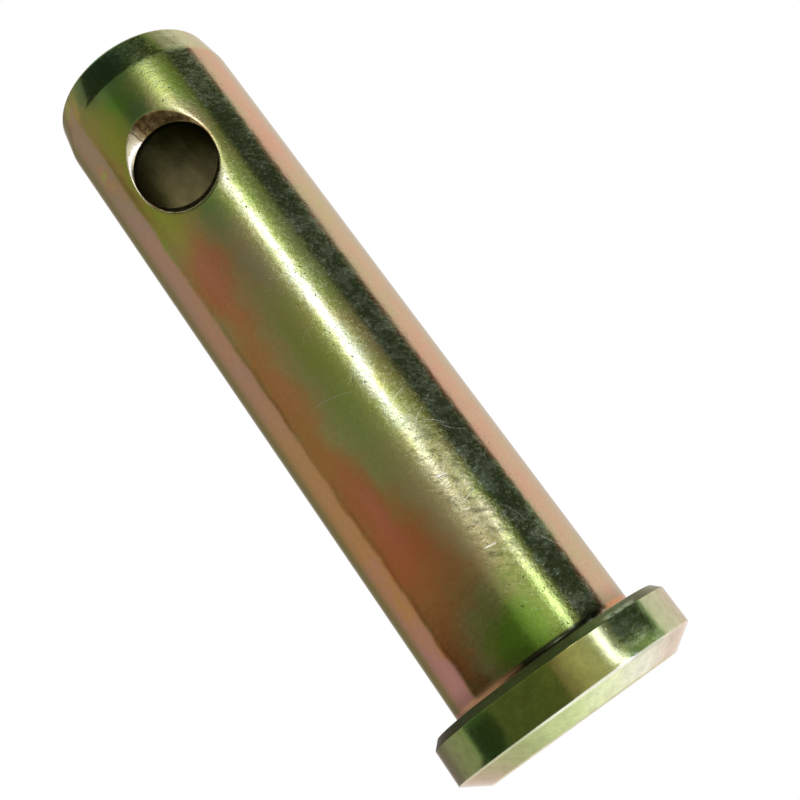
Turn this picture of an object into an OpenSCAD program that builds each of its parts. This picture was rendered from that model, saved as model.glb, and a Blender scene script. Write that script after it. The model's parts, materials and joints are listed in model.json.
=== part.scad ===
// Boom pin: a headed steel pin, turned from one bar, that joins a boom to its bracket.
// It stands on its head. The origin is the centre of the head's outer face, +Z runs up the shank
// to the tip, and the cross hole for the retaining bolt lies along Y.

/* [Shank] */
// Diameter of the shank
shank_d = 30; // [22:0.5:60]
// Length from the seat under the head to the tip
shank_l = 116.5; // [60:0.5:240]
// Length of the tapered lead-in at the tip
lead_l = 5.5; // [3:0.5:10]
// Slope of the lead-in from the pin's axis, in degrees
lead_angle = 10; // [6:1:25]
// Radius that blends the lead-in into the shank
lead_blend_r = 6; // [2:1:20]
// Radius on the edge of the tip's end face
tip_edge_r = 0.8; // [0.2:0.1:1.5]

/* [Head] */
// Height of the head, from its outer face to the seat
head_h = 9.5; // [6:0.5:20]
// Width of the shoulder that the head makes round the shank
shoulder_w = 5; // [4.5:0.5:12]
// Height of the bevel round the head's outer face
face_bevel_h = 2.5; // [0.5:0.1:3]
// Slope of that bevel from the face, in degrees
face_bevel_angle = 32; // [20:1:60]
// Height of the bevel round the seat
seat_bevel_h = 1.2; // [0.4:0.1:1.5]
// Slope of that bevel from the seat, in degrees
seat_bevel_angle = 45; // [30:1:60]
// Radius on the head's turned edges
head_edge_r = 0.2; // [0.1:0.05:0.6]
// Radius of the fillet between the shank and the seat
fillet_r = 0.8; // [0.4:0.1:2]

/* [Cross hole] */
// Diameter of the cross hole
hole_d = 14; // [6:0.5:16]
// Distance from the tip to the hole's axis
hole_from_tip = 23.5; // [18:0.5:45]
// Depth of the countersink, from the crest of the shank
sink_depth = 2; // [0.5:0.1:3]
// Included angle of the countersink, in degrees
sink_angle = 90; // [60:5:120]

/* [Hidden] */
$fn = 128;

// How far a cutter reaches past the surface that it cuts
overcut = 1;

pin_l = head_h + shank_l;
shank_r = shank_d / 2;
head_r = shank_r + shoulder_w;
face_r = head_r - face_bevel_h / tan(face_bevel_angle);
seat_r = head_r - seat_bevel_h / tan(seat_bevel_angle);
tip_r = shank_r - lead_l * tan(lead_angle);

hole_r = hole_d / 2;
hole_z = pin_l - hole_from_tip;
sink_floor = shank_r - sink_depth;
sink_reach = sink_depth + overcut;
sink_r = hole_r + sink_reach * tan(sink_angle / 2);

// Corners of the turned profile, from the outer face up to the tip, as radius and height
face_edge = [face_r, 0];
rim_low = [head_r, face_bevel_h];
rim_high = [head_r, head_h - seat_bevel_h];
seat_edge = [seat_r, head_h];
neck = [shank_r, head_h];
lead_start = [shank_r, pin_l - lead_l];
tip_edge = [tip_r, pin_l];
tip_centre = [0, pin_l];

// Each rounded edge, as the corner before it, the corner itself, the corner after it and the radius
rounded_edges = [
    [[0, 0], face_edge, rim_low, head_edge_r],
    [face_edge, rim_low, rim_high, head_edge_r],
    [rim_low, rim_high, seat_edge, head_edge_r],
    [rim_high, seat_edge, neck, head_edge_r],
    [neck, lead_start, tip_edge, lead_blend_r],
    [lead_start, tip_edge, tip_centre, tip_edge_r],
];

function unit(v) = v / norm(v);

// The sliver between a corner and the arc that rounds it: taken off an outer corner, added in an inner one
module corner_sliver(before, corner, after, r) {
    to_before = unit(before - corner);
    to_after = unit(after - corner);
    half_angle = acos(to_before * to_after) / 2;
    tangent_l = r / tan(half_angle);
    centre = corner + unit(to_before + to_after) * r / sin(half_angle);
    difference() {
        polygon([corner, corner + to_before * tangent_l, centre, corner + to_after * tangent_l]);
        translate(centre) circle(r);
    }
}

// Half of the pin's section, right of its axis
module turned_profile() {
    difference() {
        polygon([[0, 0], face_edge, rim_low, rim_high, seat_edge, neck, lead_start, tip_edge, tip_centre]);
        for (edge = rounded_edges) corner_sliver(edge[0], edge[1], edge[2], edge[3]);
    }
    corner_sliver(seat_edge, neck, lead_start, fillet_r);
}

// The drill's path through the shank, with a countersink at each mouth
module cross_hole() {
    translate([0, 0, hole_z]) {
        rotate([90, 0, 0]) cylinder(r = hole_r, h = shank_d + 2 * overcut, center = true);
        for (side = [90, -90])
            rotate([side, 0, 0])
                translate([0, 0, sink_floor])
                    cylinder(r1 = hole_r, r2 = sink_r, h = sink_reach);
    }
}

module boom_pin() {
    color([0.56, 0.50, 0.28])
        difference() {
            rotate_extrude() turned_profile();
            cross_hole();
        }
}

boom_pin();
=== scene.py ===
import json
import math
from types import SimpleNamespace

import bmesh
import bpy
from mathutils import Matrix, Quaternion, Vector


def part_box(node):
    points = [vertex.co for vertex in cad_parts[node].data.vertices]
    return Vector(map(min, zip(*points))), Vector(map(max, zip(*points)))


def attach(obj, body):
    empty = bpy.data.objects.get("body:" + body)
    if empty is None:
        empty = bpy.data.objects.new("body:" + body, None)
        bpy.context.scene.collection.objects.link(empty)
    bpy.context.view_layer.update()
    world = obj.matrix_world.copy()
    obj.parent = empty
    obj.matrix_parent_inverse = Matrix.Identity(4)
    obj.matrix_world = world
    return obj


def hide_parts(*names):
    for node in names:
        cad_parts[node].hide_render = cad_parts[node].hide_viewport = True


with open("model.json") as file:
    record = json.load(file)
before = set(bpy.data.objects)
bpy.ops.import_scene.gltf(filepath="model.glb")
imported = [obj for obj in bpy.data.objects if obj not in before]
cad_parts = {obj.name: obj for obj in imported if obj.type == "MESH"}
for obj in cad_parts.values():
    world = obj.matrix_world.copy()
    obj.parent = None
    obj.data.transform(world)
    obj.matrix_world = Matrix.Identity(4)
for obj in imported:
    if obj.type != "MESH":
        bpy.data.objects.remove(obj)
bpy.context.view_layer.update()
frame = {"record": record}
print("frame loaded")

mm = 0.001
mounts = {mount["name"]: mount for mount in frame["record"]["mounts"]}
_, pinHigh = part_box("boom_pin")
frontTurn = math.radians(7.45)  # the photographed side, turned this far from -Y towards +X


def around(turn, distance, height):
    # a point beside the pin, by its angle from the photographed side, positive to the right
    angle = frontTurn + math.radians(turn)
    return Vector((math.sin(angle) * distance, -math.cos(angle) * distance, height))


# Camera

camera = {
    "distance": 183.2 * mm,  # from the pin's axis
    "height": -0.5 * mm,  # just below the face that the pin stands on
    "aimSide": 5.4 * mm,  # what is in the middle of the picture, right of the axis
    "aimHeight": 54.2 * mm,
    "roll": 36.06,
    "lens": 55.85,
    "sensor": 36.0,
    "clipStart": 5 * mm,
}


def placeCamera(spec):
    bpy.ops.object.camera_add()
    eye = bpy.context.object
    eye.name = "photo_camera"
    stand = around(0, spec["distance"], spec["height"])
    aim = around(90, spec["aimSide"], spec["aimHeight"])
    view = (aim - stand).normalized()
    level = view.to_track_quat("-Z", "Y")
    eye.rotation_mode = "QUATERNION"
    eye.rotation_quaternion = Quaternion(view, math.radians(spec["roll"])) @ level
    eye.location = stand
    eye.data.lens = spec["lens"]
    eye.data.sensor_width = spec["sensor"]
    eye.data.clip_start = spec["clipStart"]
    bpy.context.scene.camera = eye


placeCamera(camera)
print("camera placed")


# Pin, turned from one bar

pin = {
    "sides": 192,  # columns of faces round the pin
    "length": pinHigh.z,
    "headR": max(pinHigh.x, pinHigh.y),
    "headH": mounts["seat"]["pos_m"][2],
    "shankR": mounts["shank"]["dims"]["r_mm"] * mm,
    "faceBevelH": 2.5 * mm,
    "faceBevelAngle": 32,
    "seatBevelH": 1.2 * mm,
    "seatBevelAngle": 45,
    "headEdgeR": 0.2 * mm,
    "filletR": 0.8 * mm,
    "leadL": 5.5 * mm,
    "leadAngle": 10,
    "leadBlendR": 6 * mm,
    "tipEdgeR": 0.8 * mm,
    "arcSteps": 6,
    "rowStep": 1.0 * mm,  # height of a row of faces on the shank
    "longStretch": 20 * mm,  # a stretch longer than this gets rows
    "merge": 0.001 * mm,
    "smoothAngle": 35,
}

hole = {
    "r": mounts["cross_hole"]["dims"]["r_mm"] * mm,
    "z": mounts["cross_hole"]["pos_m"][2],
    "wall": mounts["cross_hole"]["dims"]["length_mm"] * mm,
    "patchColumns": 24,  # columns of the shank on each side that give way to the hole's own rings
    "patchHalfH": 12 * mm,
    "patchRings": 8,
    "edge": 0.14 * mm,  # width of the worn edge at the mouth
    "edgeDrop": 0.3,  # how far it drops, and where its cone and bore sides lie, as shares of that width
    "edgeCone": 0.6,
    "floorCone": 0.5,
    "floorBore": 0.7,
    "boreRings": 10,
    "window": 0.9,  # faces farther out than this share of the shank's radius are opened
    "reach": 1.4,  # the cut faces lie within this many bore radii of the hole's axis
    "skin": 0.008 * mm,  # and deeper than this under the shank's surface
}


def roundCorner(before, corner, after, radius, steps):
    # points of the arc that rounds a corner of the profile
    toBefore = (before - corner).normalized()
    toAfter = (after - corner).normalized()
    half = toBefore.angle(toAfter) / 2
    centre = corner + (toBefore + toAfter).normalized() * radius / math.sin(half)
    start = corner + toBefore * radius / math.tan(half) - centre
    sweep = start.angle_signed(corner + toAfter * radius / math.tan(half) - centre)
    turns = [sweep * i / steps for i in range(steps + 1)]
    return [centre + Matrix.Rotation(-turn, 2) @ start for turn in turns]


def turnedProfile(spec):
    # rings of the pin from the outer face to the tip, as radius and height
    headR, headH, shankR = spec["headR"], spec["headH"], spec["shankR"]
    faceR = headR - spec["faceBevelH"] / math.tan(math.radians(spec["faceBevelAngle"]))
    seatR = headR - spec["seatBevelH"] / math.tan(math.radians(spec["seatBevelAngle"]))
    tipR = shankR - spec["leadL"] * math.tan(math.radians(spec["leadAngle"]))
    corners = [
        (Vector((0, 0)), 0),
        (Vector((faceR, 0)), spec["headEdgeR"]),
        (Vector((headR, spec["faceBevelH"])), spec["headEdgeR"]),
        (Vector((headR, headH - spec["seatBevelH"])), spec["headEdgeR"]),
        (Vector((seatR, headH)), spec["headEdgeR"]),
        (Vector((shankR, headH)), spec["filletR"]),
        (Vector((shankR, spec["length"] - spec["leadL"])), spec["leadBlendR"]),
        (Vector((tipR, spec["length"])), spec["tipEdgeR"]),
        (Vector((0, spec["length"])), 0),
    ]
    rings = []
    for (before, _), (corner, radius), (after, _) in zip(corners, corners[1:], corners[2:]):
        rings += roundCorner(before, corner, after, radius, spec["arcSteps"])
    return rings


def withRows(rings, spec, patchLow, patchHigh):
    # splits the long straight stretch of the shank into rows, with the patch's ends on rows
    out = []
    for ring, following in zip(rings, rings[1:] + [None]):
        out.append(ring)
        if following is None or following.y - ring.y < spec["longStretch"]:
            continue
        marks = [ring.y, patchLow, patchHigh, following.y]
        for low, high in zip(marks, marks[1:]):
            count = round((high - low) / spec["rowStep"])
            out += [Vector((ring.x, low + (high - low) * i / count)) for i in range(1, count + 1)]
        out.pop()  # the last mark is the ring that follows
    return out


def mouthRadius(t, spec, shankR):
    # distance from the hole's axis to the edge where the 45 degree countersink meets the round shank
    lift = spec["wall"] / 2 - spec["r"]
    spread = 1 + math.cos(t) ** 2
    return (math.sqrt(lift ** 2 + spread * (shankR ** 2 - lift ** 2)) - lift) / spread


def holeRings(spec, shankR):
    # each ring gives, from the angle round the hole and the ring before it, a distance from the
    # hole's axis and a depth from the pin's axis
    floor = spec["wall"] / 2
    edge = spec["edge"]

    def onShank(t, rho):
        return rho, math.sqrt(shankR ** 2 - (rho * math.cos(t)) ** 2)

    def onCone(rho):
        return rho, floor + rho - spec["r"]

    def spread(left):
        def ring(t, rho):
            mouth = mouthRadius(t, spec, shankR) + edge
            return onShank(t, mouth + (rho - mouth) * (left - 1) / left)
        return ring

    def worn(t, rho):
        mouth = mouthRadius(t, spec, shankR)
        return mouth, onShank(t, mouth)[1] - spec["edgeDrop"] * edge

    def coneTop(t, rho):
        return onCone(mouthRadius(t, spec, shankR) - spec["edgeCone"] * edge)

    def coneFloor(t, rho):
        return onCone(spec["r"] + spec["floorCone"] * edge)

    def bore(depth):
        return lambda t, rho: (spec["r"], depth)

    rings = [spread(left) for left in range(spec["patchRings"], 0, -1)]
    rings += [worn, coneTop, coneFloor, bore(floor - spec["floorBore"] * edge)]
    rings += [bore(floor * (1 - i / spec["boreRings"])) for i in range(1, spec["boreRings"] + 1)]
    return rings


def cutHole(spec, shankR):
    # opens a window on both sides of the shank and draws its edge in, ring by ring, to mid-bore
    reach = math.sin(spec["patchColumns"] * 2 * math.pi / pin["sides"]) * shankR
    body = bmesh.from_edit_mesh(bpy.context.object.data)
    bpy.ops.mesh.select_all(action="DESELECT")
    bpy.ops.mesh.select_mode(type="FACE")
    for face in body.faces:
        centre = face.calc_center_median()
        inside = abs(centre.x) < reach and abs(centre.z - spec["z"]) < spec["patchHalfH"]
        face.select_set(inside and centre.xy.length > spec["window"] * shankR)
    bpy.ops.mesh.delete(type="FACE")
    bpy.ops.mesh.select_mode(type="EDGE")
    bpy.ops.mesh.select_non_manifold(extend=False, use_wire=False, use_multi_face=False,
                                     use_non_contiguous=False, use_verts=False)
    for ring in holeRings(spec, shankR):
        bpy.ops.mesh.extrude_region_move(TRANSFORM_OT_translate={"value": (0, 0, 0)})
        body = bmesh.from_edit_mesh(bpy.context.object.data)
        for vertex in body.verts:
            if not vertex.select:
                continue
            across, up = vertex.co.x, vertex.co.z - spec["z"]
            t = math.atan2(up, across)
            rho, depth = ring(t, math.hypot(across, up))
            side = 1 if vertex.co.y > 0 else -1
            vertex.co = (rho * math.cos(t), side * depth, spec["z"] + rho * math.sin(t))
        bmesh.update_edit_mesh(bpy.context.object.data)


def turnPin(spec, holeSpec):
    bpy.ops.object.select_all(action="DESELECT")
    rings = withRows(turnedProfile(spec), spec, holeSpec["z"] - holeSpec["patchHalfH"],
                     holeSpec["z"] + holeSpec["patchHalfH"])
    bpy.ops.mesh.primitive_circle_add(vertices=spec["sides"], radius=rings[0].x, fill_type="NGON")
    piece = bpy.context.object
    piece.name = "boom_pin_plated"
    bpy.ops.object.mode_set(mode="EDIT")
    bpy.ops.mesh.select_all(action="SELECT")
    for ring, following in zip(rings, rings[1:]):
        rise = following.y - ring.y
        bpy.ops.mesh.extrude_region_move(TRANSFORM_OT_translate={"value": (0, 0, rise)})
        grow = following.x / ring.x
        bpy.ops.transform.resize(value=(grow, grow, 1), center_override=(0, 0, following.y))
    cutHole(holeSpec, spec["shankR"])
    bpy.ops.mesh.select_all(action="SELECT")
    bpy.ops.mesh.remove_doubles(threshold=spec["merge"])
    bpy.ops.mesh.normals_make_consistent(inside=False)
    bpy.ops.object.mode_set(mode="OBJECT")
    return piece


def nameFaces(piece, spec, shankR):
    # material slots: 0 the turned surface, 1 the countersinks, 2 the bore
    floor = spec["wall"] / 2
    for face in piece.data.polygons:
        rho = math.hypot(face.center.x, face.center.z - spec["z"])
        depth = abs(face.center.y)
        skin = shankR - face.center.xy.length
        if rho > spec["reach"] * spec["r"] or skin < spec["skin"]:
            continue
        face.material_index = 1 if depth > floor else 2


pinPiece = turnPin(pin, hole)
print("pin turned:", len(pinPiece.data.polygons), "faces")


# Shader maths

class Wire:
    # one socket of a node tree; sums on it add Math nodes
    def __init__(self, tree, socket=None):
        self.tree = tree
        self.socket = socket

    def add(self, kind, settings=None, sockets=None, output=0):
        node = self.tree.nodes.new(kind)
        for name, value in (settings or {}).items():
            if name == "stops":
                ramp = node.color_ramp
                while len(ramp.elements) < len(value):
                    ramp.elements.new(1.0)
                for element, (place, tone) in zip(ramp.elements, value):
                    element.position = place
                    element.color = (*tone, 1)
            else:
                setattr(node, name, value)
        for name, value in (sockets or {}).items():
            if isinstance(value, Wire):
                self.tree.links.new(value.socket, node.inputs[name])
            else:
                node.inputs[name].default_value = value
        return Wire(self.tree, node.outputs[output] if len(node.outputs) else None)

    def out(self, name):
        # another output of the same node
        return Wire(self.tree, self.socket.node.outputs[name])

    def sum(self, operation, first, second=0.0):
        return self.add("ShaderNodeMath", {"operation": operation}, {0: first, 1: second})

    def __add__(self, other):
        return self.sum("ADD", self, other)

    def __radd__(self, other):
        return self.sum("ADD", other, self)

    def __sub__(self, other):
        return self.sum("SUBTRACT", self, other)

    def __rsub__(self, other):
        return self.sum("SUBTRACT", other, self)

    def __mul__(self, other):
        return self.sum("MULTIPLY", self, other)

    def __rmul__(self, other):
        return self.sum("MULTIPLY", other, self)

    def __truediv__(self, other):
        return self.sum("DIVIDE", self, other)

    def __pow__(self, other):
        return self.sum("POWER", self, other)

    def __rpow__(self, other):
        return self.sum("POWER", other, self)

    def __abs__(self):
        return self.sum("ABSOLUTE", self)

    def root(self):
        return self.sum("SQRT", self)

    def most(self, other):
        return self.sum("MAXIMUM", self, other)

    def least(self, other):
        return self.sum("MINIMUM", self, other)

    def step(self, low, high):
        # eases from 0 at low to 1 at high
        return self.add("ShaderNodeMapRange", {"interpolation_type": "SMOOTHSTEP"},
                        {"Value": self, "From Min": low, "From Max": high})

    def between(self, low, high, soft):
        # 1 from low to high, with soft edges
        fall = 1 - self.step(high - soft / 2, high + soft / 2)
        return self.step(low - soft / 2, low + soft / 2) * fall

    def fade(self):
        # falls from 1 to 0 as this value grows from 0
        return math.e ** (self * -1)

    def hump(self, middle, half):
        # a soft rise round one value
        return (((self - middle) / half) ** 2).fade()

    def noise(self, size, detail=2.0, stretch=(1, 1, 1), tilt=0.0, shift=0, rough=0.5):
        # cloudy noise round 0.5 on this vector: size of its features, how much longer they are along
        # each axis, how far they are turned, and a shift that gives another pattern
        place = self.add("ShaderNodeMapping", {"vector_type": "TEXTURE"}, {
            "Vector": self, "Location": (shift * 0.13, shift * 0.07, shift * 0.11),
            "Rotation": (0, 0, math.radians(tilt)), "Scale": stretch})
        return self.add("ShaderNodeTexNoise", None,
                        {"Vector": place, "Scale": 1 / size, "Detail": detail, "Roughness": rough})

    def swing(self, **noise):
        # the same noise round 0
        return self.noise(**noise) - 0.5

    def wobble(self, place, reach, **noise):
        # this value, moved to and fro by noise
        return self + place.swing(**noise) * reach

    def ramp(self, stops):
        return self.add("ShaderNodeValToRGB", {"stops": stops}, {"Fac": self})

    def blend(self, other, share):
        # this colour, giving way to the other one
        if not isinstance(other, Wire):
            other = (*other, 1)
        return self.add("ShaderNodeMix", {"data_type": "RGBA", "clamp_factor": True},
                        {0: share, 6: self, 7: other}, 2)

    def shade(self, share):
        # this colour times a plain number
        return self.add("ShaderNodeVectorMath", {"operation": "SCALE"}, {0: self, "Scale": share})


def newMaterial(name):
    material = bpy.data.materials.new(name)
    material.use_nodes = True
    material.node_tree.nodes.clear()
    return material, Wire(material.node_tree)


def finishMaterial(surface):
    surface.add("ShaderNodeOutputMaterial", None, {"Surface": surface})


def finishMetal(start, tint, rough, lift, edgeTint):
    # bare metal, with its fine relief in mm
    bump = start.add("ShaderNodeBump", None, {"Strength": 1.0, "Distance": mm, "Height": lift})
    finishMaterial(start.add("ShaderNodeBsdfPrincipled", None, {
        "Base Color": tint, "Metallic": 1.0, "Roughness": rough, "Specular Tint": edgeTint,
        "Normal": bump}))


def roundPin(start):
    # place on the object, its parts, and turn from the photographed side in degrees
    place = start.add("ShaderNodeTexCoord", None, None, "Object")
    x = start.add("ShaderNodeSeparateXYZ", None, {0: place})
    y, z = x.out("Y"), x.out("Z")
    sideways = x * math.cos(frontTurn) + y * math.sin(frontTurn)
    ahead = x * math.sin(frontTurn) - y * math.cos(frontTurn)
    turn = start.sum("ARCTAN2", sideways, ahead) * (180 / math.pi)
    return place, x, y, z, turn


# Yellow zinc plating, with painted reflections, highlights, glints and shade: heights and radii in mm, turns
# in degrees from the photographed side

shankMm = pin["shankR"] / mm
lengthMm = pin["length"] / mm

regions = {
    "back": (60, 110),  # the photographed side gives way to the back over these turns
    "headTop": (9.0, 9.9),  # and the head to the shank over these heights
    "endFace": (0.1, 0.3),  # the flat end faces end this deep
}


def pinSurface(start, spec):
    # where a point lies: height, turn, radius, the surface rolled out flat, and the part of the pin
    place, x, y, z, turn = roundPin(start)
    at = SimpleNamespace(start=start, place=place, turn=turn, height=z / mm)
    at.radius = (x * x + y * y).root() / mm
    at.arc = turn * (math.pi / 180 * shankMm)
    at.skin = start.add("ShaderNodeCombineXYZ", None, {"X": at.arc, "Y": at.height, "Z": at.radius})
    at.away = abs(turn).step(*spec["back"])
    at.onHead = 1 - at.height.step(*spec["headTop"])
    shallow, deep = spec["endFace"]
    at.flat = 1 - at.height.step(shallow, deep) + at.height.step(lengthMm - deep, lengthMm - shallow)
    return at


def byTurn(turn, stops):
    # a colour that follows the turn from the photographed side
    return (turn / 180 + 0.5).ramp([(angle / 180 + 0.5, tone) for angle, tone in stops])


filmWithPaintedLight = {
    "tones": [  # colour of the chromate film as it thickens
        (0.00, (0.13, 0.31, 0.035)),
        (0.18, (0.25, 0.375, 0.045)),
        (0.32, (0.335, 0.385, 0.07)),
        (0.44, (0.40, 0.37, 0.115)),
        (0.57, (0.45, 0.33, 0.12)),
        (0.71, (0.50, 0.255, 0.075)),
        (0.85, (0.54, 0.195, 0.06)),
        (1.00, (0.59, 0.17, 0.07)),
    ],
    "level": 0.37,
    "backLevel": 0.06,  # added on the back
    "cloud": {"size": 16 * mm, "detail": 3, "shift": 3},
    "cloudDepth": 0.3,
    "backCloudDepth": 0.75,  # added on the back
    "mottle": {"size": 2.2 * mm, "detail": 3, "shift": 4, "rough": 0.6},
    "mottleDepth": 0.17,
    "heightWobble": {"reach": 10, "size": 6 * mm, "detail": 4, "shift": 1, "rough": 0.62},
    "turnWobble": {"reach": 26, "size": 6 * mm, "detail": 4, "shift": 2, "rough": 0.62},
    # thick and thin places: height, turn, half height, half turn, thickness
    "patches": [
        (33, -33, 16, 23, 0.50),
        (40, -27, 5, 6, 0.14),
        (29, -6, 14, 16, 0.22),
        (62, -34, 18, 19, 0.36),
        (84, -28, 9, 17, 0.48),
        (84, -4, 9, 10, 0.16),
        (62, 23, 5, 6, 0.14),
        (15, -38, 8, 10, 0.28),
        (108, -42, 9, 5, 0.20),
        (50, -9, 10, 12, -0.06),
        (65, -5, 9, 10, -0.05),
        (94, -3, 5, 10, -0.24),
        (99, -36, 8, 12, -0.16),
        (113, -9, 8, 11, -0.30),
        (124, -12, 4, 34, -0.30),
        (112, 24, 9, 10, -0.20),
        (91, 22, 7, 7, -0.16),
        (14, 0, 6, 20, -0.36),
        (72, 23, 6, 5, -0.14),
        (30, 29, 8, 5, -0.12),
    ],
    # places with a colour of their own, and among them a few painted highlights and a painted reflection,
    # marked below: the same sizes, then the colour and how strong it is
    "stains": [
        (108, -27, 13, 15, (0.37, 0.37, 0.05), 0.9),
        (105, -40, 14, 4, (0.46, 0.28, 0.07), 0.7),
        (94, -28, 5, 10, (0.38, 0.44, 0.05), 0.8),
        # painted reflection of a dark thing: a grey-green spot by the hole
        (112, -9, 6, 8, (0.17, 0.24, 0.12), 0.7),
        (116.5, -14, 3.5, 8, (0.17, 0.38, 0.04), 0.9),
        (113, 4, 3, 6, (0.52, 0.42, 0.24), 0.6),
        (115, 21, 4, 6, (0.28, 0.42, 0.06), 0.7),
        # painted highlights: two pale spots under the strips of light, right of the hole
        (106, 17, 7, 8, (0.54, 0.42, 0.22), 0.85),
        (96, 12, 3, 6, (0.60, 0.52, 0.36), 0.5),
        (50, -9, 10, 12, (0.34, 0.42, 0.12), 0.7),
        (92, -5, 5, 8, (0.20, 0.29, 0.11), 0.7),
        (115, 11, 5, 8, (0.43, 0.50, 0.12), 0.6),
        (124.5, -8, 5, 42, (0.18, 0.33, 0.15), 0.85),
        (124, -29, 5, 7, (0.17, 0.20, 0.08), 0.6),
        (122, -42, 4, 6, (0.52, 0.34, 0.11), 0.85),
        (84, -27, 8, 13, (0.60, 0.25, 0.14), 0.7),
        (40, -28, 6, 8, (0.60, 0.23, 0.12), 0.6),
        (62, -31, 5, 7, (0.56, 0.27, 0.12), 0.5),
        (30, 4, 13, 13, (0.44, 0.37, 0.17), 0.75),
        (80, -2, 7, 8, (0.34, 0.31, 0.17), 0.6),
        (80, 25, 14, 5, (0.33, 0.37, 0.16), 0.6),
        (13.5, -2, 6, 16, (0.22, 0.43, 0.035), 0.85),
        (14, 20, 5, 8, (0.36, 0.46, 0.09), 0.6),
        # painted highlight: a long pale stripe along the main strip of light
        (68, 12.5, 30, 4.5, (0.46, 0.48, 0.30), 0.75),
    ],
}


def spot(at, middle, angle, halfH, halfT):
    # a soft oval on the turned surface, drawn through the wobble
    out = ((at.heightWarp - middle) / halfH) ** 2 + ((at.turnWarp - angle) / halfT) ** 2
    return out.fade() * (1 - at.flat)


def filmTintAndPaintedLight(spec, at):
    # clouds of the chromate film, with its thick and thin places and its stains, among which a few painted
    # highlights and a painted reflection
    at.heightWarp = at.height.wobble(at.place, **spec["heightWobble"])
    at.turnWarp = at.turn.wobble(at.place, **spec["turnWobble"])
    at.mottle = at.place.swing(**spec["mottle"])
    cloud = at.place.swing(**spec["cloud"])
    thick = spec["level"] + at.away * spec["backLevel"] + at.mottle * spec["mottleDepth"]
    thick = thick + cloud * (spec["cloudDepth"] + at.away * spec["backCloudDepth"])
    for *oval, much in spec["patches"]:
        thick = thick + spot(at, *oval) * much
    tint = thick.ramp(spec["tones"])
    for *oval, tone, share in spec["stains"]:
        tint = tint.blend(tone, spot(at, *oval) * share)
    return tint


# painted light down the photographed side: a painted dark reflection, pink painted reflections down both
# flanks, painted shade by the head and a pale painted reflection on the lead-in
paintedFlanks = {
    "ends": (95, 125),  # the bands end over these turns, on both sides
    "tone": {"size": 12 * mm, "detail": 3, "stretch": (1, 1, 1.6), "shift": 6},
    # painted reflection of a dark thing: a cooler, darker band down the right of the shank, fixed to the
    # photographed side
    "darkBand": (0.17, 0.25, 0.12),
    "darkBandTurn": (30, 52, 6),  # from, to, softness
    "darkBandShare": 0.8,
    "edgeWobble": {"reach": 5, "size": 1.6 * mm, "detail": 3, "shift": 5},
    "fringe": (0.36, 0.15, 0.085),  # rust-red line painted along the edge of the painted dark reflection
    "fringeTurn": (43.5, 46),
    "fringeTone": (0.36, 0.62),
    "fringeShare": 0.85,
    # painted reflection: pink and beige tones down the right flank, as a pinkish surface mirrored at a
    # grazing angle
    "right": [(0.42, (0.50, 0.43, 0.22)), (0.60, (0.56, 0.40, 0.25)), (0.80, (0.62, 0.35, 0.24))],
    "rightTurn": (46.8, 49.2),
    "rightPinks": [(38, 20, 0.25), (103, 9, 0.2)],  # pinker places in the painted reflection: height, half height, share
    "rightMottle": 0.5,
    "rightEdge": (0.50, 0.46, 0.32),
    "rightEdgeTurn": (60, 78),
    "left": [  # painted reflection down the left flank, duller than the right one: from the head to the tip
        (0.10, (0.64, 0.31, 0.25)),
        (0.24, (0.65, 0.33, 0.12)),
        (0.45, (0.60, 0.34, 0.15)),
        (0.62, (0.58, 0.33, 0.205)),
        (0.78, (0.49, 0.33, 0.22)),
        (0.90, (0.44, 0.32, 0.19)),
        (0.955, (0.51, 0.31, 0.15)),
        (0.98, (0.44, 0.43, 0.12)),
    ],
    "leftTurn": (-46, -43),
    "leftWobble": {"reach": 8, "size": 4 * mm, "detail": 4, "shift": 19, "rough": 0.6},
    "leftTone": 0.7,
    "leftMottle": 0.2,
    "leftEdge": (0.44, 0.41, 0.08),
    "leftEdgeTurn": (-72, -58),
    "leftLine": (-42.5, 2),  # painted dark line at the edge of the painted left reflection: turn, half width
    "leftLineTone": (0.35, 0.65),
    "leftLineDepth": 0.3,
    "neckShade": (10.2, 13.5),  # painted shade, darker towards the head over these heights
    "neckShadeDepth": 0.35,
    "leadEdge": (0.50, 0.51, 0.29),  # painted reflection: pale right end of the lead-in
    "leadEdgeHeight": (119.8, 121.2),
    "leadEdgeTurn": (27, 33),
}


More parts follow.
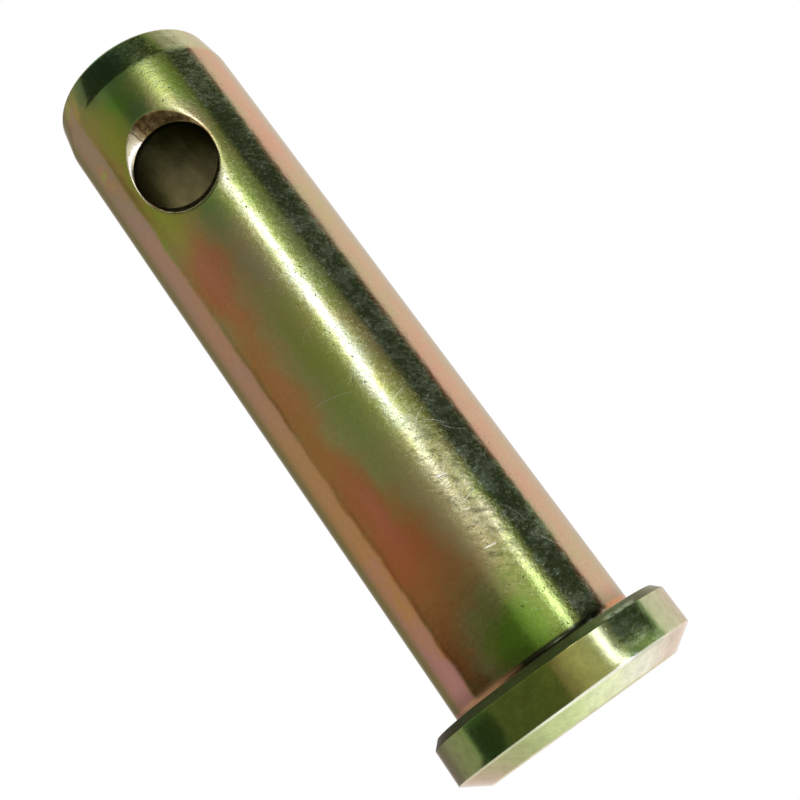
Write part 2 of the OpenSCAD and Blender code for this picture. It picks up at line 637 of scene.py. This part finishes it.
def paintFlankLight(spec, at, tint):
    # painted reflections: a cooler dark band on the right with a rust-red line at its edge, and pinker bands
    # down both flanks; then painted shade towards the head and a pale painted reflection at the lead-in's
    # right end
    at.edgeTurn = at.turn.wobble(at.place, **spec["edgeWobble"])
    at.near = (1 - abs(at.turnWarp).step(*spec["ends"])) * (1 - at.flat)
    leftTurn = at.turn.wobble(at.place, **spec["leftWobble"])
    tone = at.place.noise(**spec["tone"])
    pink = tone + at.mottle * spec["rightMottle"]
    for middle, half, share in spec["rightPinks"]:
        pink = pink + at.height.hump(middle, half) * share
    right = pink.ramp(spec["right"]).blend(spec["rightEdge"], at.turn.step(*spec["rightEdgeTurn"]))
    along = at.height / lengthMm + (tone - 0.5) * spec["leftTone"] + at.mottle * spec["leftMottle"]
    left = along.ramp(spec["left"]).blend(spec["leftEdge"], 1 - at.turn.step(*spec["leftEdgeTurn"]))
    band = at.edgeTurn.between(*spec["darkBandTurn"]) * (1 - at.flat)
    tint = tint.blend(spec["darkBand"], band * spec["darkBandShare"])
    fringe = at.edgeTurn.step(*spec["fringeTurn"]) * tone.step(*spec["fringeTone"]) * at.near
    tint = tint.blend(spec["fringe"], fringe * spec["fringeShare"])
    tint = tint.blend(right, at.edgeTurn.step(*spec["rightTurn"]) * at.near)
    tint = tint.blend(left, (1 - leftTurn.step(*spec["leftTurn"])) * at.near)
    line = leftTurn.hump(*spec["leftLine"]) * tone.step(*spec["leftLineTone"])
    tint = tint.shade(1 - line * spec["leftLineDepth"])
    tint = tint.shade(1 - (1 - at.height.step(*spec["neckShade"])) * spec["neckShadeDepth"])
    lead = at.height.step(*spec["leadEdgeHeight"]) * at.turn.step(*spec["leadEdgeTurn"])
    return tint.blend(spec["leadEdge"], lead * at.near)


# head colours, partly painted reflection, painted shade and a painted highlight
headFinishAndPaintedLight = {
    "tones": [(0.35, (0.28, 0.34, 0.075)), (0.65, (0.40, 0.38, 0.12))],
    "cloud": {"size": 8 * mm, "detail": 3, "shift": 8},
    "blotch": {"size": 1.5 * mm, "detail": 4, "shift": 21, "rough": 0.65},
    "blotchDepth": 0.7,
    "rimWobble": {"reach": 4, "size": 1.2 * mm, "detail": 3, "shift": 7},
    "rim": [  # round the rim, by turn; partly painted reflection, darker from 30 to 47 and paler from 51 on, as on the shank's flanks
        (-75, (0.36, 0.37, 0.19)),
        (-46, (0.33, 0.40, 0.13)),
        (-42, (0.27, 0.48, 0.12)),
        (-37, (0.20, 0.38, 0.075)),
        (-31, (0.22, 0.38, 0.075)),
        (-27, (0.29, 0.38, 0.07)),
        (-2, (0.36, 0.46, 0.07)),
        (2, (0.31, 0.28, 0.07)),
        (7, (0.37, 0.35, 0.09)),
        (17, (0.36, 0.37, 0.11)),
        (27, (0.45, 0.51, 0.18)),
        (30, (0.24, 0.34, 0.11)),
        (47, (0.22, 0.34, 0.11)),
        (51, (0.50, 0.52, 0.30)),
        (75, (0.50, 0.49, 0.34)),
    ],
    "seatBevel": [  # painted shade on the seat bevel, by turn as the rim: near black at the front, paler at the right end
        (-80, (0.05, 0.06, 0.03)),
        (-40, (0.06, 0.09, 0.03)),
        (-20, (0.08, 0.11, 0.03)),
        (25, (0.08, 0.115, 0.035)),
        (48, (0.055, 0.09, 0.035)),
        (60, (0.12, 0.15, 0.08)),
        (75, (0.24, 0.27, 0.17)),
    ],
    "seatBevelHeight": (8.28, 9.7, 0.1),  # from, to, softness
    "neck": [  # by turn: painted shade, near black, at the front, and painted reflections, orange-brown, at the sides
        (-50, (0.60, 0.32, 0.17)),
        (-30, (0.52, 0.27, 0.12)),
        (-18, (0.25, 0.14, 0.06)),
        (-8, (0.03, 0.03, 0.012)),
        (42, (0.04, 0.05, 0.02)),
        (52, (0.55, 0.27, 0.13)),
    ],
    "neckHeight": (9.42, 10.6, 0.5),
    "neckRadius": (17, 18),
    "bevel": [  # painted reflection round the bevel of the outer face, by turn, palest from 20 to 38
        (-60, (0.38, 0.32, 0.21)),
        (-28, (0.35, 0.41, 0.17)),
        (0, (0.62, 0.72, 0.34)),
        (20, (0.80, 0.86, 0.54)),
        (38, (0.85, 0.85, 0.70)),
        (60, (0.60, 0.54, 0.45)),
    ],
    "face": (0.62, 0.62, 0.40),
    "faceHeight": (2.54, 2.66),
    "rimEdge": (0.90, 0.90, 0.72),  # bright line along the rim's lower edge: a worn edge with a painted highlight
    "rimEdgeHeight": (2.3, 2.7, 0.12),
    "rimEdgeTurn": (-14, 46, 20),  # where its painted highlight is brightest
    "rimEdgeLeast": 0.3,
}


def headTintAndPaintedLight(spec, at, tint):
    # greener head, with its own bands on the rim and on the bevel of the pale face; the rim's and the
    # bevel's bands are partly painted reflection, the seat bevel and the neck carry painted shade, and the
    # rim's lower edge a painted highlight
    rimTurn = at.turn.wobble(at.place, **spec["rimWobble"])
    head = at.place.noise(**spec["cloud"]).ramp(spec["tones"]).blend(byTurn(rimTurn, spec["rim"]), at.near)
    tint = tint.blend(head, at.onHead)
    at.onSeatBevel = at.height.between(*spec["seatBevelHeight"])
    tint = tint.blend(byTurn(at.turnWarp, spec["seatBevel"]), at.onSeatBevel * at.near)
    neck = at.height.between(*spec["neckHeight"]) * (1 - at.radius.step(*spec["neckRadius"]))
    tint = tint.blend(byTurn(at.turnWarp, spec["neck"]), neck * at.near)
    face = byTurn(at.turnWarp, spec["bevel"]).blend(spec["face"], 1 - at.near)
    tint = tint.blend(face, 1 - at.height.step(*spec["faceHeight"]))
    tint = tint.shade(1 + at.place.swing(**spec["blotch"]) * at.onHead * spec["blotchDepth"])
    least = spec["rimEdgeLeast"]
    highlightShare = least + at.turn.between(*spec["rimEdgeTurn"]) * (1 - least)
    return tint.blend(spec["rimEdge"], at.height.between(*spec["rimEdgeHeight"]) * highlightShare)


wearAndGlints = {
    "roughness": 0.15,
    "rimRoughness": 0.12,
    "seatBevelRoughness": 0.2,  # added
    "edgeTint": (1.0, 0.86, 0.78, 1),
    "handled": (2, 52, 18),  # turns of the side with the most marks: from, to, softness
    "handledBack": 0.7,
    "calm": (119.5, 121.5),  # the lead-in, above these heights, has less grain, and so has the head
    "calmShare": 0.75,
    # grain: the noise, how high it is in mm, and how much higher on the handled side
    "grain": [
        ({"size": 0.34 * mm, "detail": 2, "stretch": (1.5, 1.5, 1), "shift": 9, "rough": 0.6}, 0.004, 0.010),
        ({"size": 1.1 * mm, "detail": 3, "stretch": (1.5, 1.5, 1), "shift": 10}, 0.005, 0.026),
        ({"size": 5 * mm, "detail": 2, "shift": 11}, 0.018, 0),
    ],
    "speckle": {"size": 0.6 * mm, "detail": 3, "shift": 12, "rough": 0.65},
    "speckleTint": 0.32,
    "speckleRoughness": 0.22,
    "crowd": {"size": 7 * mm, "detail": 2, "shift": 13},  # where marks lie closer together
    "crowdShare": 0.3,
    "ticks": [
        {"size": 0.30, "detail": 1, "stretch": (3, 1, 1), "tilt": 35, "shift": 14},
        {"size": 0.30, "detail": 1, "stretch": (3, 1, 1), "tilt": -50, "shift": 15},
    ],
    "ticksRange": (0.64, 0.76),
    "ticksShare": 0.7,
    "grit": {"size": 0.55, "detail": 3, "stretch": (1.3, 1, 1), "shift": 17, "rough": 0.7},
    "gritRange": (0.42, 0.72),
    "gritHeight": (17, 25),  # less grit below
    "gritLeast": 0.35,
    "scuff": (0.40, 0.46, 0.23),
    "scuffShare": 0.45,
    "scuffOnHead": 0.4,
    "scuffClear": (9.3, 10.9, 0.4),  # no scuffs at these heights, round the fillet
    "scuffRoughness": 0.17,
    "scuffDepth": 0.005,
    "pits": {"size": 0.5, "detail": 1, "shift": 16},
    "pitsRange": (0.70, 0.77),
    "pitsShade": 0.6,
    "pitsRoughness": 0.2,
    "pitsDepth": 0.02,
    "bandGrit": (0.46, 0.54, 0.36),  # painted glints: paler clumps on the painted dark reflection
    "bandTurn": (29, 47, 5),
    "bandRadius": (19.2, 19.7),  # on the head, only out here
    "clump": {"size": 1.5, "detail": 4, "stretch": (1.4, 1, 1), "shift": 18, "rough": 0.7},
    "clumpRange": (0.44, 0.62),
    "clumpCrowd": 0.4,
    "clumpShare": 0.5,
    # painted shade: the dark reflection is darker between its clumps
    "clumpShade": 0.3,
    "flake": (0.56, 0.51, 0.21),
    "flakes": {"size": 0.95, "detail": 3, "stretch": (1.8, 1, 1), "tilt": -25, "shift": 20, "rough": 0.6},
    "flakesRange": (0.50, 0.64),
    "flakesShare": 0.5,
    "gapsRange": (0.34, 0.50),  # darker gaps between the flakes
    "gapsShade": 0.45,
    "rubbedTurn": (7, 25, 7),  # the flakes lie in a rubbed place between the two bright streaks
    "rubbedHeight": (21, 46, 9),
    "ringPitch": 0.4,  # turning rings on the flat faces
    "ringHeight": 0.004,
    "scratch": (0.80, 0.78, 0.58),
    "scratchShare": 0.8,
    "scratchRoughness": 0.2,
    "scratchDepth": 0.01,
    "scratchTaper": 0.5,  # the share of its length and width at which a scratch starts to fade
    "scratchSoft": 0.4,
    # scratches: height, turn, half length, slant from the way round the pin, half width, bend, strength
    "scratches": [
        (25.6, 12.5, 1.1, -10, 0.15, 0, 0.9),
        (37.6, 12.8, 1.0, -10, 0.15, 0, 0.9),
        (31.5, 14.5, 0.5, -14, 0.11, 0, 0.6),
        (56.0, -11, 4.0, -14, 0.06, 0.035, 0.65),
        (42.5, 37, 2.4, -30, 0.10, -0.09, 0.6),
        (28, 36, 2.6, -62, 0.10, 0.07, 0.5),
        (22, 44, 2.8, -48, 0.11, -0.06, 0.5),
        (63, 34.8, 1.6, -28, 0.05, 0.10, 0.45),
        (72.5, 30, 0.4, 0, 0.14, 0, 0.7),
        (47, 24, 2.0, 30, 0.05, 0.08, 0.4),
        (86, 38, 1.6, 40, 0.05, 0.10, 0.4),
        (97, 34, 1.2, -20, 0.05, -0.10, 0.4),
        (51, 20, 3.0, 20, 0.05, 0.05, 0.5),
        (45, 29, 2.5, -35, 0.05, 0.08, 0.5),
        (60, 16, 1.6, -60, 0.05, 0, 0.4),
        (33, 19, 2.2, 15, 0.05, -0.06, 0.5),
        (66, -3, 2.2, 35, 0.05, 0.06, 0.4),
        (76, 4, 1.8, -25, 0.05, -0.08, 0.4),
    ],
}


def scratched(spec, at):
    # 1 on each scratch, worked out on the shank's surface rolled out flat
    worn = 0
    for middle, angle, halfL, slant, halfW, bend, strength in spec["scratches"]:
        across = at.arc - math.radians(angle) * shankMm
        up = at.height - middle
        c, s = math.cos(math.radians(slant)), math.sin(math.radians(slant))
        along = across * c + up * s
        aside = abs(up * c - across * s + along * along * bend)
        mark = 1 - abs(along).step(halfL * spec["scratchTaper"], halfL)
        mark = mark * (1 - aside.step(halfW * spec["scratchSoft"], halfW))
        worn = mark * strength + worn
    return worn.least(1)


def wearAndGlintMarks(spec, at):
    # where the bar's scuffs, pits and scratches lie, and the clumps of painted glints on the dark reflection
    crowd = at.place.swing(**spec["crowd"])
    at.speckle = at.place.swing(**spec["speckle"])
    at.handled = at.turn.between(*spec["handled"]).most(at.away * spec["handledBack"])
    first, second = [at.skin.noise(**ticks) for ticks in spec["ticks"]]
    ticks = (first.most(second) + crowd * spec["crowdShare"]).step(*spec["ticksRange"])
    grit = (at.skin.noise(**spec["grit"]) + crowd * spec["crowdShare"]).step(*spec["gritRange"])
    least = spec["gritLeast"]
    grit = grit * (least + at.height.step(*spec["gritHeight"]) * (1 - least))
    bare = (1 - at.flat) * (1 - at.onHead * (1 - spec["scuffOnHead"]))
    bare = bare * (1 - at.height.between(*spec["scuffClear"]))
    at.scuff = (ticks * spec["ticksShare"]).most(grit) * at.handled * bare
    at.pits = at.skin.noise(**spec["pits"]).step(*spec["pitsRange"]) * at.handled * (1 - at.onHead)
    at.clump = (at.skin.noise(**spec["clump"]) + crowd * spec["clumpCrowd"]).step(*spec["clumpRange"])
    at.band = at.edgeTurn.between(*spec["bandTurn"]) * (1 - at.flat)
    at.band = at.band * (1 - at.onHead * (1 - at.radius.step(*spec["bandRadius"])))
    at.scratch = scratched(spec, at)


def wornTintAndGlints(spec, at, tint):
    tint = tint.shade(1 + at.speckle * spec["speckleTint"])
    # painted shade between the clumps of the dark reflection
    tint = tint.shade(1 - at.band * (1 - at.clump) * spec["clumpShade"])
    tint = tint.blend(spec["scuff"], at.scuff * spec["scuffShare"])
    # painted glints: paler clumps on the dark reflection
    tint = tint.blend(spec["bandGrit"], at.clump * at.band * spec["clumpShare"])
    flakes = at.skin.noise(**spec["flakes"])
    rubbed = at.turn.between(*spec["rubbedTurn"]) * at.height.between(*spec["rubbedHeight"])
    tint = tint.blend(spec["flake"], flakes.step(*spec["flakesRange"]) * rubbed * spec["flakesShare"])
    tint = tint.shade(1 - (1 - flakes.step(*spec["gapsRange"])) * rubbed * spec["gapsShade"])
    tint = tint.shade(1 - at.pits * spec["pitsShade"])
    return tint.blend(spec["scratch"], at.scratch * spec["scratchShare"])


def wornRoughness(spec, at):
    rough = spec["roughness"] - at.onHead * (spec["roughness"] - spec["rimRoughness"])
    rough = rough + at.speckle * spec["speckleRoughness"] + at.onSeatBevel * spec["seatBevelRoughness"]
    rough = rough + at.scuff * spec["scuffRoughness"] + at.pits * spec["pitsRoughness"]
    return rough + at.scratch * spec["scratchRoughness"]


def wornHeight(spec, at):
    # in mm
    calm = at.onHead.most(at.height.step(*spec["calm"]))
    grain = 0
    for noise, height, more in spec["grain"]:
        grain = at.place.noise(**noise) * (height + at.handled * more) + grain
    rings = at.start.sum("SINE", at.radius * (2 * math.pi / spec["ringPitch"])) * at.flat
    lift = grain * (1 - calm * spec["calmShare"]) + rings * spec["ringHeight"]
    lift = lift - at.scuff * spec["scuffDepth"] - at.pits * spec["pitsDepth"]
    return lift - at.scratch * spec["scratchDepth"]


def platedSteelWithPaintedLight():
    material, start = newMaterial("yellow_zinc")
    at = pinSurface(start, regions)
    tint = headTintAndPaintedLight(headFinishAndPaintedLight, at, paintFlankLight(paintedFlanks, at, filmTintAndPaintedLight(filmWithPaintedLight, at)))
    wearAndGlintMarks(wearAndGlints, at)
    tint = wornTintAndGlints(wearAndGlints, at, tint)
    finishMetal(start, tint, wornRoughness(wearAndGlints, at), wornHeight(wearAndGlints, at), wearAndGlints["edgeTint"])
    return material


# Cut steel inside the hole, with a painted highlight on the countersink and painted shade in the bore; turns
# in degrees round the hole

countersinkAndHighlight = {
    "brown": [(0.30, (0.20, 0.125, 0.045)), (0.50, (0.38, 0.25, 0.085)), (0.75, (0.68, 0.52, 0.26))],
    # painted highlight: the cream crescent, where the countersink mirrors bright light
    "cream": [(0.30, (0.80, 0.70, 0.42)), (0.70, (0.92, 0.84, 0.55))],
    "lip": [(0.35, (0.50, 0.46, 0.18)), (0.65, (0.72, 0.66, 0.34))],
    "cloud": {"size": 0.9 * mm, "detail": 3, "shift": 1},
    "creamMiddle": 150,  # the cream painted highlight lies round this turn, from which the next ones count
    "creamTurn": (-44, 62, 20),  # from, to, softness
    "lipTurn": (50, 75),  # the lip's tones start over these turns
    "lipBack": (-160, -150),  # and end over these
    "chatter": 40,  # marks that the cutter left round the mouth
    "chatterWobble": {"reach": 4, "size": 1.2 * mm, "detail": 2},
    "notchRange": (-0.1, 0.95),
    "notchTurn": (-66, -38, 16),
    "notchShare": 0.7,
    "notchDepth": 0.010,
    "grain": {"size": 0.3 * mm, "detail": 2, "shift": 2},
    "grainHeight": 0.010,
    "roughness": 0.24,
    "roughnessSpread": 0.2,
    "edgeTint": (1, 1, 1, 1),
}

# painted shade: the bore grows darker across it and from one end to the other
bore = {
    "tones": [(0.10, (0.155, 0.125, 0.062)), (0.48, (0.085, 0.078, 0.038)), (0.82, (0.018, 0.024, 0.010))],
    "across": 0.30,  # how far the painted shade goes from the axis to the wall
    "through": 0.55,  # and from one end of the bore to the other
    "cloud": {"size": 2.5 * mm, "detail": 3, "stretch": (1, 3, 1)},
    "ringPitch": 0.5 * mm,  # the drill's rings
    "ringWobble": {"reach": 4, "size": 2 * mm, "detail": 2, "shift": 1},
    "ringHeight": 0.003,
    "grain": {"size": 0.6 * mm, "detail": 2, "shift": 2},
    "grainHeight": 0.03,
    "roughness": 0.40,
    "roughnessSpread": 0.2,
    "edgeTint": (0.72, 0.70, 0.52, 1),
}


def roundHole(start, zero):
    # place on the object, across and along the hole, and turn round it in degrees from the one given
    place = start.add("ShaderNodeTexCoord", None, None, "Object")
    x = start.add("ShaderNodeSeparateXYZ", None, {0: place})
    y, up = x.out("Y"), x.out("Z") - hole["z"]
    c, s = math.cos(math.radians(zero)), math.sin(math.radians(zero))
    turn = start.sum("ARCTAN2", up * c - x * s, x * c + up * s) * (180 / math.pi)
    return place, x, y, turn


def countersunkSteelWithHighlight(spec):
    material, start = newMaterial("countersunk_steel")
    place, _, _, turn = roundHole(start, spec["creamMiddle"])
    chatter = (turn * (math.pi / 180 * spec["chatter"])).wobble(place, **spec["chatterWobble"])
    notch = start.sum("SINE", chatter).step(*spec["notchRange"]) * turn.between(*spec["notchTurn"])
    cloud = place.noise(**spec["cloud"])
    lip = turn.step(*spec["lipTurn"]).most(1 - turn.step(*spec["lipBack"]))
    tint = cloud.ramp(spec["brown"]).blend(cloud.ramp(spec["lip"]), lip)
    tint = tint.blend(cloud.ramp(spec["cream"]), turn.between(*spec["creamTurn"]))
    tint = tint.blend(spec["brown"][0][1], notch * spec["notchShare"])
    rough = spec["roughness"] + (cloud - 0.5) * spec["roughnessSpread"]
    lift = place.noise(**spec["grain"]) * spec["grainHeight"] - notch * spec["notchDepth"]
    finishMetal(start, tint, rough, lift, spec["edgeTint"])
    return material


def drilledSteelWithPaintedShade(spec):
    material, start = newMaterial("drilled_steel")
    place, x, y, _ = roundHole(start, 0)
    cloud = place.noise(**spec["cloud"])
    tint = x * (spec["across"] / hole["r"]) - y * (spec["through"] / hole["wall"]) + cloud
    rings = (y * (2 * math.pi / spec["ringPitch"])).wobble(place, **spec["ringWobble"])
    rough = spec["roughness"] + (cloud - 0.5) * spec["roughnessSpread"]
    lift = start.sum("SINE", rings) * spec["ringHeight"] + place.noise(**spec["grain"]) * spec["grainHeight"]
    finishMetal(start, tint.ramp(spec["tones"]), rough, lift, spec["edgeTint"])
    return material


pinPiece.data.materials.append(platedSteelWithPaintedLight())
pinPiece.data.materials.append(countersunkSteelWithHighlight(countersinkAndHighlight))
pinPiece.data.materials.append(drilledSteelWithPaintedShade(bore))
nameFaces(pinPiece, hole, pin["shankR"])
bpy.ops.object.select_all(action="DESELECT")
pinPiece.select_set(True)
bpy.context.view_layer.objects.active = pinPiece
bpy.ops.object.shade_smooth_by_angle(angle=math.radians(pin["smoothAngle"]))
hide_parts("boom_pin")
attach(pinPiece, "root")
print("pin plated")


# Studio: white surroundings, and a light tent round the pin that only the metal sees

studio = {
    "floorSize": 4.0,
    "floorColour": (0.90, 0.90, 0.89, 1),
    "fade": (0.25, 1.6),  # over this distance from the pin the floor turns white
    "fill": 0.55,  # the world's light on the floor
    "lampSize": 0.5,
    "lampPower": 2.2,
    "lampTurn": 130,
    "lampReach": 0.40,
    "lampHeight": 0.65,
}

tent = {
    "radius": 300 * mm,
    "height": 800 * mm,
    "hem": 34 * mm,  # the tent's hem lies on the floor as near to the pin as this
    "lift": 0.2 * mm,  # just above the floor
    "sides": 96,
    "roof": 0.45,
    "roofEdge": (0.98, 0.99),  # the wall gives way to the roof at this share of the height
    # brightness of the wall by turn from the photographed side
    "wall": [
        (-180, 0.25), (-172, 0.34), (-165, 0.56), (-158, 0.38), (-148, 0.26), (-136, 0.28), (-122, 0.44),
        (-108, 0.50), (-92, 0.50), (-87, 0.41), (-60, 0.42), (-36, 0.36), (-18, 0.33), (-4, 0.37), (8, 0.47),
        (18, 0.72), (34, 0.76), (46, 0.47),
        (55, 0.28), (62, 0.13), (92, 0.13), (97, 0.42), (101, 1.0), (125, 1.0), (150, 0.85), (178, 0.80),
        (180, 0.30),
    ],
    # soft strips of light: turn, half width, from height, to height, softness, brightness, share of blue
    "strips": [
        (26.5, 3.6, 112 * mm, 265 * mm, 70 * mm, 4.2, 1.9),
        (27, 8.0, 112 * mm, 280 * mm, 70 * mm, 1.3, 1.2),
        (25, 8.0, 300 * mm, 332 * mm, 20 * mm, 1.6, 1.2),
        (45.5, 3.9, -50 * mm, 88 * mm, 60 * mm, 3.7, 2.0),
        (84, 16, 345 * mm, 780 * mm, 30 * mm, 0.6, 0.75),
        (75, 22, -50 * mm, 4 * mm, 3 * mm, 0.9, 0.85),
    ],
    # dark flags: from turn, to turn, softness, from height, to height, softness, share of light taken
    "flags": [
        (-90, 2, 5, -50 * mm, 62 * mm, 30 * mm, 0.55),
        (-88, -58, 6, -50 * mm, 34 * mm, 10 * mm, 0.6),
        (-30, 6, 8, 275 * mm, 340 * mm, 30 * mm, 0.4),
        (-69, 66, 5, 350 * mm, 900 * mm, 25 * mm, 0.85),
    ],
}


def whiteWorld(fill):
    world = bpy.data.worlds.new("white_world")
    world.use_nodes = True
    world.node_tree.nodes.clear()
    start = Wire(world.node_tree)
    ray = start.add("ShaderNodeLightPath")
    seen = ray.out("Is Camera Ray").most(ray.out("Is Glossy Ray")).most(ray.out("Is Transmission Ray"))
    level = fill + seen * (1 - fill)
    glow = start.add("ShaderNodeBackground", None, {"Color": (1, 1, 1, 1), "Strength": level})
    start.add("ShaderNodeOutputWorld", None, {"Surface": glow})
    bpy.context.scene.world = world


def paleFloor(spec):
    bpy.ops.object.select_all(action="DESELECT")
    bpy.ops.mesh.primitive_plane_add(size=spec["floorSize"])
    floor = bpy.context.object
    floor.name = "floor"
    material, start = newMaterial("pale_floor")
    ray = start.add("ShaderNodeLightPath")
    place = start.add("ShaderNodeTexCoord", None, None, "Object")
    away = start.add("ShaderNodeVectorMath", {"operation": "LENGTH"}, {0: place}, "Value")
    far = ray.out("Is Camera Ray") * away.step(*spec["fade"])
    mirrored = ray.out("Is Glossy Ray").most(ray.out("Is Transmission Ray")).most(far)
    matte = start.add("ShaderNodeBsdfDiffuse", None, {"Color": spec["floorColour"]})
    white = start.add("ShaderNodeEmission", None, {"Color": (1, 1, 1, 1), "Strength": 1.0})
    top = start.add("ShaderNodeMixShader", None, {0: mirrored, 1: matte, 2: white})
    below = start.add("ShaderNodeNewGeometry", None, None, "Backfacing")
    clear = start.add("ShaderNodeBsdfTransparent")
    finishMaterial(start.add("ShaderNodeMixShader", None, {0: below, 1: top, 2: clear}))
    floor.data.materials.append(material)


def tentCloth(spec):
    material, start = newMaterial("tent_cloth")
    *_, z, turn = roundPin(start)
    wall = (turn / 360 + 0.5).ramp([(angle / 360 + 0.5, (level,) * 3) for angle, level in spec["wall"]])
    low, high = [share * spec["height"] for share in spec["roofEdge"]]
    roof = z.step(low, high)
    shade = 1
    for fromTurn, toTurn, softTurn, low, high, softHeight, share in spec["flags"]:
        flag = turn.between(fromTurn, toTurn, softTurn) * z.between(low, high, softHeight)
        shade = (1 - flag * share) * shade
    light = wall.shade(shade).blend((spec["roof"],) * 3, roof)
    for angle, half, low, high, soft, level, blue in spec["strips"]:
        strip = turn.hump(angle, half) * z.between(low, high, soft) * level
        glow = start.add("ShaderNodeVectorMath", {"operation": "SCALE"}, {0: (1, 1, blue), "Scale": strip})
        light = start.add("ShaderNodeVectorMath", {"operation": "ADD"}, {0: light, 1: glow})
    finishMaterial(start.add("ShaderNodeEmission", None, {"Color": light, "Strength": 1.0}))
    return material


def pitchTent(spec):
    bpy.ops.object.select_all(action="DESELECT")
    bpy.ops.mesh.primitive_circle_add(vertices=spec["sides"], radius=spec["hem"],
                                      location=(0, 0, spec["lift"]))
    cloth = bpy.context.object
    cloth.name = "light_tent"
    bpy.ops.object.transform_apply(location=True)
    bpy.ops.object.mode_set(mode="EDIT")
    bpy.ops.mesh.select_all(action="SELECT")
    bpy.ops.mesh.extrude_region_move(TRANSFORM_OT_translate={"value": (0, 0, 0)})
    grow = spec["radius"] / spec["hem"]
    bpy.ops.transform.resize(value=(grow, grow, 1), center_override=(0, 0, 0))
    bpy.ops.mesh.extrude_region_move(TRANSFORM_OT_translate={"value": (0, 0, spec["height"])})
    bpy.ops.mesh.edge_face_add()
    bpy.ops.object.mode_set(mode="OBJECT")
    cloth.data.materials.append(tentCloth(spec))
    cloth.visible_camera = False
    cloth.visible_diffuse = False
    cloth.visible_shadow = False
    cloth.visible_transmission = False


def hangLamp(spec):
    stand = around(spec["lampTurn"], spec["lampReach"], spec["lampHeight"])
    bpy.ops.object.light_add(type="AREA", location=stand)
    lamp = bpy.context.object
    lamp.name = "soft_lamp"
    lamp.rotation_euler = (-lamp.location).to_track_quat("-Z", "Y").to_euler()
    lamp.data.size = spec["lampSize"]
    lamp.data.energy = spec["lampPower"]
    lamp.visible_glossy = False


whiteWorld(studio["fill"])
paleFloor(studio)
hangLamp(studio)
pitchTent(tent)
bpy.context.scene.view_settings.view_transform = "Standard"
print("studio lit")
